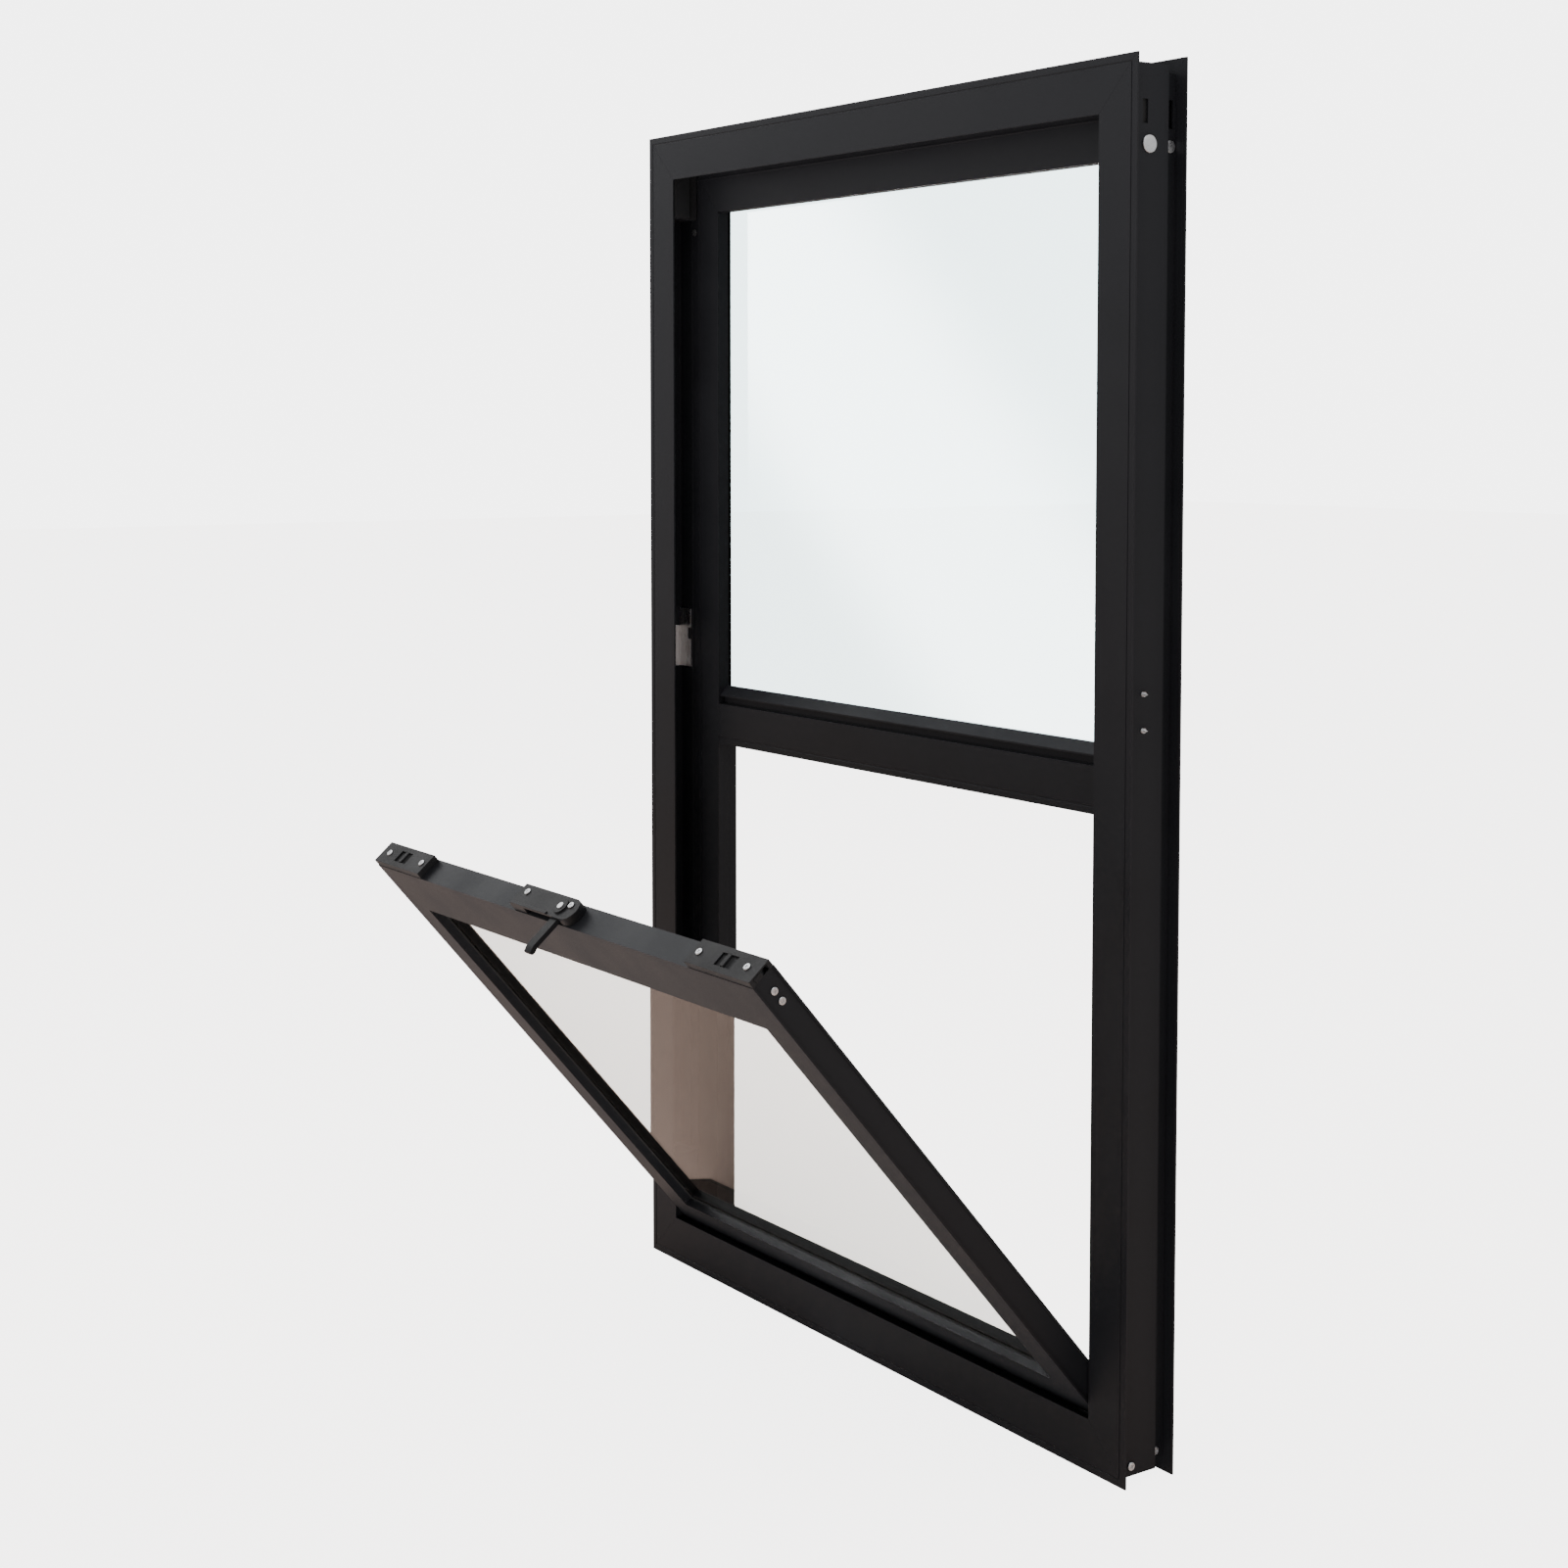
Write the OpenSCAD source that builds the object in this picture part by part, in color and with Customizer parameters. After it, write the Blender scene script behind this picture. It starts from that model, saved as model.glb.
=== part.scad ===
// Single-hung tilt window in aluminium, with its own frame and no wall.
// X runs across the window, Y from the room to the outside, Z up.
// The origin is the middle of the flat seat under the sill.
// Every piece is first drawn in frame measure: x from the middle, y from the
// room face, z from the lowest edge. place() then moves it to the origin.

/* [Frame] */
// Overall width over the flanges
frame_w = 762; // [560:1:1000]
// Overall height over the flanges
frame_h = 1219; // [1000:1:1600]
// Depth from the room face to the outside face
frame_d = 57; // [56:1:66]
// Width of the flange that is seen from the room
flange = 47; // [46:1:56]
// How far both flanges stand out past the flat web
fin = 7; // [5:0.5:9]
// Wall of the frame extrusions
wall = 1.8; // [1.5:0.1:2.2]
// Distance from the frame's outer edge to the daylight edge
leg_u = 82; // [76:1:95]
// Depth at which the fixed glass bears on the frame
rest_v = 47; // [46:0.5:49]
// Depth of the track for the sash and its shoes
track_v = 34; // [34:0.5:36]

/* [Sill] */
// Height of the sill's upstand over the lowest edge
sill_up = 58; // [54:1:64]
// Height of the sloping sill at the outside face
sill_out = 40; // [34:1:44]

/* [Meeting rail] */
// Height of the meeting rail's ledge over the lowest edge
meet_z = 613; // [500:1:760]
// Height of its front face
meet_h = 43; // [36:1:60]
// Rise of the glazing nose over the ledge
nose_h = 19; // [16:1:24]

/* [Sash] */
// Thickness of the sash
sash_t = 26; // [24:1:26]
// Gap between the sash and the flange at each side
side_gap = 1.5; // [1:0.1:3]
// Width of a stile
stile_w = 36; // [34:1:48]
// Height of the top rail
top_rail_h = 58; // [50:1:80]
// Height of the bottom rail
bottom_rail_h = 37; // [36:1:60]
// Wall of the sash extrusions
sash_wall = 1.6; // [1.3:0.1:1.8]
// Angle at which the sash stands open
tilt = 40.5; // [0:0.5:88]

/* [Glass] */
// Thickness of the panes
glass_t = 5; // [4:0.5:5]
// How far a pane reaches into its channel
glass_in = 8; // [6:0.5:9]

/* [Balances] */
// Height of a balance shoe
shoe_h = 72; // [66:1:100]
// Bore of the shoe that the pivot cam turns in
cam_r = 9; // [8:0.1:10]
// Running clearance of the cam in its bore
cam_fit = 0.05; // [0.02:0.01:0.1]
// Height of the balance bracket's foot over the lowest edge
bracket_z = 649; // [560:1:760]

/* [Catches] */
// Length of a tilt latch
latch_len = 94; // [90:1:110]
// Throw of a latch bolt
latch_throw = 9; // [6:0.5:10]
// Half the length of the lock's case
lock_half = 52; // [48:1:60]
// Sideways offset of the lock's rotor
rotor_x = 27; // [20:1:28]
// Reach of the lock's lever from its rotor
lever_len = 50; // [42:1:54]

/* [Hidden] */
$fn = 32;

coat = "#2f2f33";
silver = "#c4c7c8";
rubber = "#151515";
pane = "#dceceb";

eps = 0.01;
cut = 1;                                // how far a cut runs past what it cuts
half_w = frame_w / 2;
groove_d = 6;                           // depth of the groove behind the web
web_d = track_v + 8;                    // where the flat web ends
groove_u = fin + groove_d;              // floor of that groove
rebate_u = leg_u - 16;                  // floor of the glazing rebate
line_u = 6.5;                           // shadow line round the room face
line_w = 1.2;
line_d = 0.5;
rib_us = [31, 45];                      // two low ribs on the track wall
rib_w = 1.5;
rib_h = 0.8;
seat_v = web_d / 2;

sash_in = flange + side_gap;            // sash edge, from the frame's outer edge
sash_w = frame_w - 2 * sash_in;
half_t = sash_t / 2;
pivot_v = half_t + 3;
flange_clear = 2;                       // level sash over the sill's flange
pivot_z = flange + half_t + flange_clear;
swing_r = track_v - pivot_v;            // room for the sash foot to swing
foot = floor(10 * sqrt(pow(swing_r - 0.9, 2) - pow(half_t, 2))) / 10;  // sash below its pivot
reach = meet_z - pivot_z;               // sash above its pivot
platform_z = pivot_z - swing_r + 0.3;
sill_low = sill_out - 3;

chan = glass_t + 4;                     // width of the sash's glass channel
chan_d = glass_in + 3;                  // depth of that channel
bottom_top = bottom_rail_h - foot;      // glass line over the pivot
top_low = reach - top_rail_h;
shank_r = 1.95;
port_r = 2;
hole_r = 2.2;
head_r = 3.7;

glass_v = rest_v + 1;                   // room side of the fixed pane
glass_half = half_w - leg_u + glass_in + 3;
glass_low = meet_z + nose_h - glass_in;
glass_high = frame_h - leg_u + glass_in + 3;
bead_v = glass_v + glass_t;
bead_out = 1.5;

shoe_low = pivot_z - 14;
shoe_u0 = fin + wall + 0.5;
shoe_u1 = flange - 1.5;
shoe_v0 = wall + 1.7;
shoe_v1 = track_v - rib_h - 0.6;
coil_r = 12;
coil_hub = 7;
coil_z = shoe_low + shoe_h - coil_r - 3;
ribbon_v0 = pivot_v - 5;
ribbon_w = 10;
ribbon_t = 0.5;
ribbon_u = shoe_u0 + 0.4;

stop_z = frame_h - 88;
stop_h = 69;
stop_step = 4;                          // step down the side of a stop block
stop_step_v = 22;
stop_screw_u = 38;                      // screw under a stop block
stop_screw_z = stop_z - 13;
bracket_h = 63;
bracket_screw_zs = [bracket_z + 4, bracket_z + 35];
bracket_screw_v = 19;
plug_z = frame_h - 74;
plug_in = 5;                            // how far a plug reaches into its stop block
plug_fit = 0.2;
plug_v = 20;
plug_r = 6;
back_plug_v = 49.5;
back_plug_r = 4;
slot_z = frame_h - 47;
slot_h = 20;
slot_v = [12.5, 18.5];
back_slot_h = 24;
back_slot_v = [48, 52.5];

// ---- placing -------------------------------------------------------------

module place() translate([0, -seat_v, -fin]) children();

// x counts inwards from the frame's outer edge at the left (-1) or right (1)
module at_side(side) {
    if (side > 0) mirror([1, 0, 0]) translate([-half_w, 0, 0]) children();
    else translate([-half_w, 0, 0]) children();
}

// origin on the pivot line, z up the sash, tilted as it stands
module in_sash() place() translate([0, pivot_v, pivot_z]) rotate([tilt, 0, 0]) children();

// x counts inwards from the sash's own end
module at_sash_end(side) {
    if (side > 0) mirror([1, 0, 0]) translate([-sash_w / 2, 0, 0]) children();
    else translate([-sash_w / 2, 0, 0]) children();
}

module box(x, y, z) translate([x[0], y[0], z[0]])
    cube([x[1] - x[0], y[1] - y[0], z[1] - z[0]]);

module rod(x0, x1, y, z, r) translate([x0, y, z]) rotate([0, 90, 0]) cylinder(r = r, h = x1 - x0);

// hole that runs back from depth y
module wall_hole(x, y, z, length) translate([x, y, z]) rotate([-90, 0, 0])
    cylinder(r = hole_r, h = length);

module upright(x, y, z0, z1, r) translate([x, y, z0]) cylinder(r = r, h = z1 - z0);

// a section (u, v): u turned up to Z and run across the window
module run_across(length) rotate([0, -90, 0]) linear_extrude(length, center = true) children();

// a flat outline (x, z) given depth from y0 to y1
module run_deep(y0, y1) translate([0, y1, 0]) rotate([90, 0, 0]) linear_extrude(y1 - y0) children();

// one wall of a section
module strip(u0, v0, u1, v1) translate([u0, v0]) square([u1 - u0, v1 - v0]);

// ---- frame extrusions ----------------------------------------------------

module outer_walls() {
    strip(0, 0, flange, wall);
    strip(fin, 0, fin + wall, web_d);
    strip(fin, web_d - wall, groove_u + wall, web_d);
    strip(groove_u, web_d - wall, groove_u + wall, frame_d);
}

module shadow_line() strip(line_u, -cut, line_u + line_w, line_d);

module side_profile() difference() {
    union() {
        outer_walls();
        strip(0, frame_d - wall, rebate_u + wall, frame_d);
        strip(fin, track_v, leg_u, track_v + wall);
        strip(leg_u - wall, track_v, leg_u, rest_v);
        strip(rebate_u, rest_v - wall, leg_u, rest_v);
        strip(rebate_u, rest_v - wall, rebate_u + wall, frame_d);
        for (u = rib_us) strip(u, track_v - rib_h, u + rib_w, track_v + eps);
    }
    shadow_line();
}

sill_ports = [[16, 13], [19.5, 47]];    // (height, depth) of the screw ports

module sill_profile() difference() {
    union() {
        outer_walls();
        strip(0, frame_d - wall, sill_out, frame_d);
        strip(fin, track_v, sill_up, track_v + wall);
        strip(platform_z - wall, 0, platform_z, track_v + eps);
        polygon([[sill_up, track_v], [sill_up, track_v + wall], [sill_out, frame_d],
            [sill_out - 2, frame_d], [sill_up - 2, track_v]]);
        for (p = sill_ports) {
            translate(p) circle(r = port_r + 1.5);
            strip(p[1] > web_d ? groove_u : fin, p[1] - 0.8, p[0], p[1] + 0.8);
        }
    }
    for (p = sill_ports) translate(p) circle(r = port_r);
    shadow_line();
}

mitre = leg_u + 4;

module head_mitre() run_deep(-cut, frame_d + cut)
    polygon([[-half_w, frame_h], [half_w, frame_h], [half_w - mitre, frame_h - mitre],
        [-half_w + mitre, frame_h - mitre]]);

module sill_mitre() run_deep(-cut, frame_d + cut)
    polygon([[-half_w, 0], [-half_w + flange, flange], [-half_w + flange, sill_up + cut],
        [half_w - flange, sill_up + cut], [half_w - flange, flange], [half_w, 0]]);

module jamb_mitre() run_deep(-cut, frame_d + cut)
    polygon([[0, 0], [flange, flange], [flange, sill_low], [mitre, sill_low],
        [mitre, frame_h - mitre], [0, frame_h]]);

// everything below the top of the sloping sill
module below_sill() rotate([90, 0, 90]) linear_extrude(frame_w, center = true)
    polygon([[track_v - 0.5, 0], [track_v - 0.5, sill_up], [track_v + wall, sill_up],
        [frame_d, sill_out], [frame_d + cut, sill_out], [frame_d + cut, 0]]);

module frame_head() color(coat) place() intersection() {
    translate([0, 0, frame_h]) mirror([0, 0, 1]) run_across(frame_w) side_profile();
    head_mitre();
}

module frame_sill() color(coat) place() intersection() {
    run_across(frame_w) sill_profile();
    sill_mitre();
}

module jamb(side) color(coat) place() at_side(side) difference() {
    intersection() {
        linear_extrude(frame_h) side_profile();
        jamb_mitre();
    }
    intersection() {
        translate([half_w, 0, 0]) below_sill();
        box([flange, mitre], [track_v - cut, frame_d + cut], [-cut, sill_up + cut]);
    }
    for (p = sill_ports) rod(fin - cut, groove_u + wall + cut, p[1], p[0], hole_r);
    for (z = bracket_screw_zs) rod(fin - cut, fin + wall + cut, bracket_screw_v, z, hole_r);
    box([fin - cut, fin + wall + cut], slot_v, [slot_z - slot_h / 2, slot_z + slot_h / 2]);
    box([groove_u - cut, groove_u + wall + cut], back_slot_v,
        [slot_z - back_slot_h / 2, slot_z + back_slot_h / 2]);
    rod(fin - cut, fin + wall + cut, plug_v, plug_z, plug_r + plug_fit);
    rod(groove_u - cut, groove_u + wall + cut, back_plug_v, plug_z, back_plug_r + plug_fit);
    wall_hole(stop_screw_u, track_v - cut, stop_screw_z, wall + 2 * cut);
    rod(leg_u - wall - cut, leg_u + cut, cleat_screw_v, cleat_z, hole_r);
}

module frame_jamb_left() jamb(-1);
module frame_jamb_right() jamb(1);

key_t = 8;
key_v = track_v + wall + 0.2;

// angle plate (x, z) that bends round a corner of the frame
module key_plate(inner, outer, arm) run_deep(key_v, key_v + key_t)
    polygon([[outer, outer], [arm, outer], [arm, inner], [inner, inner], [inner, arm],
        [outer, arm]]);

module head_corner_keys() color(silver) place() for (side = [-1, 1]) at_side(side)
    translate([0, 0, frame_h]) mirror([0, 0, 1])
    key_plate(leg_u - wall - 0.2, groove_u + wall + 2, leg_u + 60);

module sill_corner_keys() color(silver) place() for (side = [-1, 1]) at_side(side)
    key_plate(platform_z - wall - 4, groove_u + wall + 8, 96);

module head_screw(x, y, z, length) {
    rod(x - 2, x, y, z, head_r);
    rod(x - eps, x + length, y, z, shank_r);
}

module sill_corner_screws() color(silver) place() for (side = [-1, 1]) at_side(side) {
    head_screw(fin, sill_ports[0][1], sill_ports[0][0], 30);
    head_screw(groove_u, sill_ports[1][1], sill_ports[1][0], 26);
}

// ---- meeting rail and the fixed light ---------------------------------------

meet_half = half_w - leg_u;
meet_low = meet_z - meet_h;
nose_z = meet_z + nose_h;
floor_z = glass_low - 3;                // top of the floor under the fixed pane
keeper_h = 8;                           // slot that the lock's cam turns into
keeper_v = rest_v - wall - 2;           // back of that slot

module meeting_profile() difference() {
    union() {
        strip(meet_low, track_v, meet_z, track_v + wall);
        strip(meet_z - wall, track_v, meet_z, rest_v);
        strip(meet_z, keeper_v - wall, nose_z - 4, keeper_v);
        polygon([[meet_z + keeper_h, track_v + 2], [meet_z + keeper_h + 1.5, track_v + 2],
            [nose_z, rest_v - 2], [nose_z, rest_v], [meet_z + keeper_h, rest_v]]);
        strip(meet_z - wall, rest_v - wall, nose_z, rest_v);
        strip(floor_z - wall, rest_v - wall, floor_z, frame_d);
        strip(meet_low, frame_d - wall, floor_z, frame_d);
        strip(meet_low, track_v, meet_low + wall, frame_d);
    }
    strip(meet_low + 6, track_v - cut, meet_low + 8, track_v + line_d);
}

cleat_z = meet_z - meet_h / 2 - 4;
cleat_t = 2.5;
cleat_u = leg_u + 12;                   // screw that comes in from outside
cleat_screw_v = track_v + 7;            // screw into the jamb
cleat_half = 9;

module meeting_rail() color(coat) place() difference() {
    run_across(2 * meet_half) meeting_profile();
    for (side = [-1, 1]) at_side(side) translate([cleat_u, frame_d, cleat_z])
        rotate([90, 0, 0]) cylinder(r1 = head_r + 0.05, r2 = hole_r, h = wall + eps);
}

// angle that joins the meeting rail's end to the jamb
module meeting_rail_cleats() color(silver) place() for (side = [-1, 1]) at_side(side)
    difference() {
        union() {
            box([leg_u, leg_u + 24], [frame_d - wall - cleat_t, frame_d - wall],
                [cleat_z - cleat_half, cleat_z + cleat_half]);
            box([leg_u, leg_u + cleat_t], [track_v + wall + 1, frame_d - wall],
                [cleat_z - cleat_half, cleat_z + cleat_half]);
        }
        wall_hole(cleat_u, frame_d - wall - cleat_t - cut, cleat_z, cleat_t + 2 * cut);
        rod(leg_u - cut, leg_u + cleat_t + cut, cleat_screw_v, cleat_z, hole_r);
    }

module meeting_rail_screws() color(silver) place() for (side = [-1, 1]) at_side(side) {
    translate([cleat_u, frame_d, cleat_z]) rotate([90, 0, 0]) {
        cylinder(r1 = head_r, r2 = shank_r, h = wall);
        cylinder(r = shank_r, h = wall + cleat_t + 3);
    }
    rod(leg_u + cleat_t, leg_u + cleat_t + 2, cleat_screw_v, cleat_z, head_r);
    rod(leg_u - wall - 4, leg_u + cleat_t + eps, cleat_screw_v, cleat_z, shank_r);
}

module upper_glass() color(pane, 0.35) place()
    box([-glass_half, glass_half], [glass_v, glass_v + glass_t], [glass_low, glass_high]);

seal_in = glass_in + 3;                 // the pane's edge to the daylight edge

module upper_glass_seal() color(rubber) place() difference() {
    box([-glass_half, glass_half], [rest_v, glass_v], [glass_low, glass_high]);
    box([-glass_half + seal_in - 2, glass_half - seal_in + 2], [rest_v - cut, glass_v + cut],
        [glass_low + glass_in - 2, glass_high - seal_in + 2]);
}

// snap-in bead: (0, 0) is the rebate floor against the pane
bead_w = leg_u - rebate_u - wall - bead_out;

module bead_profile(width) polygon([[0, 0], [width, 0], [width, 1.2], [width - 6, frame_d - bead_v],
    [0, frame_d - bead_v]]);

module glass_bead_head() color(coat) place()
    translate([0, bead_v, frame_h - rebate_u - wall]) mirror([0, 0, 1])
    run_across(frame_w - 2 * (rebate_u + wall)) bead_profile(bead_w);

bead_foot = glass_low - 3;

module glass_bead_meeting() color(coat) place() translate([0, bead_v, bead_foot])
    run_across(frame_w - 2 * (rebate_u + wall)) bead_profile(glass_in + 3 - bead_out);

module glass_bead(side) color(coat) place() at_side(side)
    translate([rebate_u + wall, bead_v, bead_foot + glass_in + 3 - bead_out])
    linear_extrude(frame_h - rebate_u - wall - bead_w - bead_foot - glass_in - 3 + bead_out)
    bead_profile(bead_w);

module glass_bead_left() glass_bead(-1);
module glass_bead_right() glass_bead(1);

// channel that closes the jamb's rebate below the meeting rail
module jamb_cover(side) color(coat) place() at_side(side) difference() {
    translate([0, 0, sill_low]) linear_extrude(bead_foot - sill_low) {
        strip(leg_u - wall, rest_v, leg_u, frame_d);
        strip(rebate_u + wall, frame_d - wall, leg_u, frame_d);
        strip(rebate_u + wall, rest_v + 1, rebate_u + 2 * wall, frame_d);
    }
    translate([half_w, 0, 0]) below_sill();
}

module jamb_cover_left() jamb_cover(-1);
module jamb_cover_right() jamb_cover(1);

// ---- stops, brackets and balances ---------------------------------------------

module stop_block(side) color("#202022") place() at_side(side) difference() {
    box([shoe_u0, flange - 1], [shoe_v0, track_v - rib_h], [stop_z, stop_z + stop_h]);
    box([flange - 1 - stop_step, flange], [stop_step_v, track_v], [stop_z - cut, frame_h]);
    rod(shoe_u0 - cut, shoe_u0 + plug_in + 1, plug_v, plug_z, plug_r + plug_fit);
}

module stop_block_left() stop_block(-1);
module stop_block_right() stop_block(1);

module wall_screw(u, v, z, length) translate([u, v, z]) rotate([-90, 0, 0]) {
    translate([0, 0, -2]) cylinder(r = head_r, h = 2);
    translate([0, 0, -eps]) cylinder(r = shank_r, h = length);
}

module stop_screws() color(silver) place() for (side = [-1, 1]) at_side(side) {
    wall_screw(stop_screw_u, track_v, stop_screw_z, wall);
}

module balance_bracket(side) color(silver) place() at_side(side) difference() {
    union() {
        box([fin + wall, fin + wall + 1.5], [8, track_v - rib_h], [bracket_z, bracket_z + 44]);
        box([fin + wall, 30], [track_v - rib_h - 1.5, track_v - rib_h],
            [bracket_z, bracket_z + bracket_h]);
        box([fin + wall, ribbon_u + ribbon_t + 3], [8, 14], [bracket_z - 8, bracket_z + 2]);
    }
    for (z = bracket_screw_zs) rod(fin, fin + 5, bracket_screw_v, z, hole_r);
    box([ribbon_u - 0.2, ribbon_u + ribbon_t + 0.2], [0, ribbon_v0 + ribbon_w + 0.2],
        [bracket_z - 9, bracket_z - 0.3]);
    box([24, 31], [track_v - 4, track_v], [bracket_z + 30, bracket_z + 42]);
}

module balance_bracket_left() balance_bracket(-1);
module balance_bracket_right() balance_bracket(1);

// the points of these screws stand out past the jamb's web
module bracket_screws() color(silver) place() for (side = [-1, 1], z = bracket_screw_zs)
    at_side(side) translate([fin + wall + 1.5, bracket_screw_v, z]) rotate([0, -90, 0]) {
        translate([0, 0, -2]) cylinder(r = head_r, h = 2);
        translate([0, 0, -eps]) cylinder(r = shank_r, h = 6.5);
        translate([0, 0, 6.5 - eps]) cylinder(r1 = shank_r, r2 = 0.3, h = 3);
    }

// spring ribbon that unrolls from the shoe's coil up to the bracket
module balance_ribbon(side) color(silver) place() at_side(side)
    box([ribbon_u, ribbon_u + ribbon_t], [ribbon_v0, ribbon_v0 + ribbon_w],
        [coil_z + 1, bracket_z - 0.5]);

module balance_ribbon_left() balance_ribbon(-1);
module balance_ribbon_right() balance_ribbon(1);

module jamb_plugs() color(silver) place() for (side = [-1, 1]) at_side(side) {
    rod(fin - 1.6, fin, plug_v, plug_z, plug_r + 1.6);
    rod(fin - eps, shoe_u0 + plug_in, plug_v, plug_z, plug_r);
    rod(groove_u - 1.2, groove_u, back_plug_v, plug_z, back_plug_r + 1.3);
    rod(groove_u - eps, groove_u + wall + 1, back_plug_v, plug_z, back_plug_r);
}

coil_x = ribbon_u + ribbon_t + coil_r;

module balance_shoe(side) color("#3a3a3c") place() at_side(side) difference() {
    box([shoe_u0, shoe_u1], [shoe_v0, shoe_v1], [shoe_low, shoe_low + shoe_h]);
    rod(shoe_u1 - 21, shoe_u1 + cut, pivot_v, pivot_z, cam_r + cam_fit);
    difference() {
        union() {
            translate([coil_x, ribbon_v0 - 0.3, coil_z]) rotate([-90, 0, 0])
                cylinder(r = coil_r + 0.4, h = ribbon_w + 0.6);
            box([coil_x - coil_r - 1.2, coil_x], [ribbon_v0 - 0.3, ribbon_v0 + ribbon_w + 0.3],
                [coil_z, shoe_low + shoe_h + cut]);
        }
        translate([coil_x, ribbon_v0 - 0.3, coil_z]) rotate([-90, 0, 0])
            cylinder(r = coil_hub - 0.1, h = ribbon_w + 0.6);
    }
    for (v = [shoe_v0 - cut, shoe_v1 - 2])
        box([shoe_u0 + 8, shoe_u1 - 8], [v, v + 2 + cut], [pivot_z + 14, coil_z - 16]);
}

module balance_shoe_left() balance_shoe(-1);
module balance_shoe_right() balance_shoe(1);

module balance_coil(side) color(silver) place() at_side(side)
    translate([coil_x, ribbon_v0, coil_z]) rotate([-90, 0, 0]) difference() {
        cylinder(r = coil_r, h = ribbon_w);
        translate([0, 0, -cut]) cylinder(r = coil_hub, h = ribbon_w + 2 * cut);
    }

module balance_coil_left() balance_coil(-1);
module balance_coil_right() balance_coil(1);

// ---- sash ------------------------------------------------------------------

end_in = 1.5;                           // recess of a stile's end wall

// walls of the glass channel, its mouth at u = 0 and its floor towards -u
module channel_walls() {
    half = chan / 2;
    strip(-sash_wall, -half_t, 0, -half);
    strip(-sash_wall, half, 0, half_t);
    strip(-chan_d, -half - sash_wall, 0, -half);
    strip(-chan_d, half, 0, half + sash_wall);
    strip(-chan_d - sash_wall, -half - sash_wall, -chan_d, half + sash_wall);
}

module stile_profile() {
    strip(0, -half_t, stile_w, -half_t + sash_wall);
    strip(0, half_t - sash_wall, stile_w, half_t);
    strip(end_in, -half_t, end_in + sash_wall, half_t);
    translate([stile_w, 0]) channel_walls();
}

top_ports = [[reach - 17, 0], [reach - 28.5, 0]];
port_v = half_t - 5.2;
bottom_ports = [[4, -port_v], [4, port_v]];

module ports(points) for (p = points) translate(p) circle(r = port_r + 1.5);

module port_holes(points) for (p = points) translate(p) circle(r = port_r);

module top_rail_profile() difference() {
    union() {
        strip(top_low, -half_t, reach, -half_t + sash_wall);
        strip(top_low, half_t - sash_wall, reach, half_t);
        strip(reach - sash_wall, -half_t, reach, half_t);
        translate([top_low, 0]) mirror([1, 0]) channel_walls();
        strip(top_low + chan_d, -0.8, reach - 17, 0.8);
        ports(top_ports);
    }
    port_holes(top_ports);
}

module bottom_rail_profile() difference() {
    union() {
        strip(-foot, -half_t, bottom_top, -half_t + sash_wall);
        strip(-foot, half_t - sash_wall, bottom_top, half_t);
        strip(-foot, -half_t, -foot + sash_wall, half_t);
        translate([bottom_top, 0]) channel_walls();
        ports(bottom_ports);
        for (v = [-half_t, half_t - 3]) strip(bottom_ports[0][0] - 0.8, v, bottom_ports[0][0] + 0.8, v + 3);
    }
    port_holes(bottom_ports);
}

rail_len = sash_w - 2 * stile_w;

module sash_top_rail() color(coat) in_sash() difference() {
    run_across(rail_len) top_rail_profile();
    for (side = [-1, 1]) at_sash_end(side) rail_hole(latch_screw_2, 0);
    for (x = [-lock_screw_x, lock_screw_x]) rail_hole(x, lock_screw_v);
}

module rail_hole(x, v) upright(x, v, reach - sash_wall - cut, reach + cut, hole_r);

module sash_bottom_rail() color(coat) in_sash() run_across(rail_len) bottom_rail_profile();

module sash_stile(side) color(coat) in_sash() difference() {
    at_sash_end(side) translate([0, 0, -foot]) linear_extrude(reach + foot) stile_profile();
    at_sash_end(side) {
        for (p = concat(top_ports, bottom_ports))
            rod(-cut, stile_w + cut, p[1], p[0], hole_r);
        box([-cut, stile_w + cut], [-bar_t / 2, bar_t / 2], [-bar_h / 2, bar_h / 2]);
    }
}

module sash_stile_left() sash_stile(-1);
module sash_stile_right() sash_stile(1);

pane_half = sash_w / 2 - stile_w + glass_in;
pane_low = bottom_top - glass_in;
pane_high = top_low + glass_in;

module sash_glass() color(pane, 0.35) in_sash()
    box([-pane_half, pane_half], [-glass_t / 2, glass_t / 2], [pane_low, pane_high]);

// one channel gasket that wraps the pane's edge
module sash_glass_seal() color(rubber) in_sash() difference() {
    lap = 2.5;
    box([-pane_half - lap, pane_half + lap], [-chan / 2, chan / 2],
        [pane_low - lap, pane_high + lap]);
    box([-pane_half + glass_in, pane_half - glass_in], [-chan, chan],
        [pane_low + glass_in, pane_high - glass_in]);
    box([-pane_half, pane_half], [-glass_t / 2, glass_t / 2], [pane_low, pane_high]);
}

module sash_screws() color(silver) in_sash() for (side = [-1, 1]) at_sash_end(side)
    for (p = concat(top_ports, bottom_ports)) {
        rod(end_in - 1.3, end_in, p[1], p[0], head_r - 0.3);
        rod(end_in - eps, stile_w + 14, p[1], p[0], shank_r);
    }

pile_h = track_v - pivot_v - half_t - 0.3;

module sash_pile(side) color(rubber) in_sash() at_sash_end(side)
    box([12, 18], [half_t, half_t + pile_h], [2, reach - 30]);

module sash_pile_left() sash_pile(-1);
module sash_pile_right() sash_pile(1);

module sash_pile_top() color(rubber) in_sash()
    box([-rail_len / 2, rail_len / 2], [half_t, half_t + pile_h], [reach - 26, reach - 20]);

bulb_half = 2.5;
bulb_low = sqrt(pow(swing_r - 0.5, 2) - pow(bulb_half, 2));

module sash_bottom_seal() color(rubber) in_sash()
    box([-rail_len / 2, rail_len / 2], [-bulb_half, bulb_half], [-bulb_low, -foot]);

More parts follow.
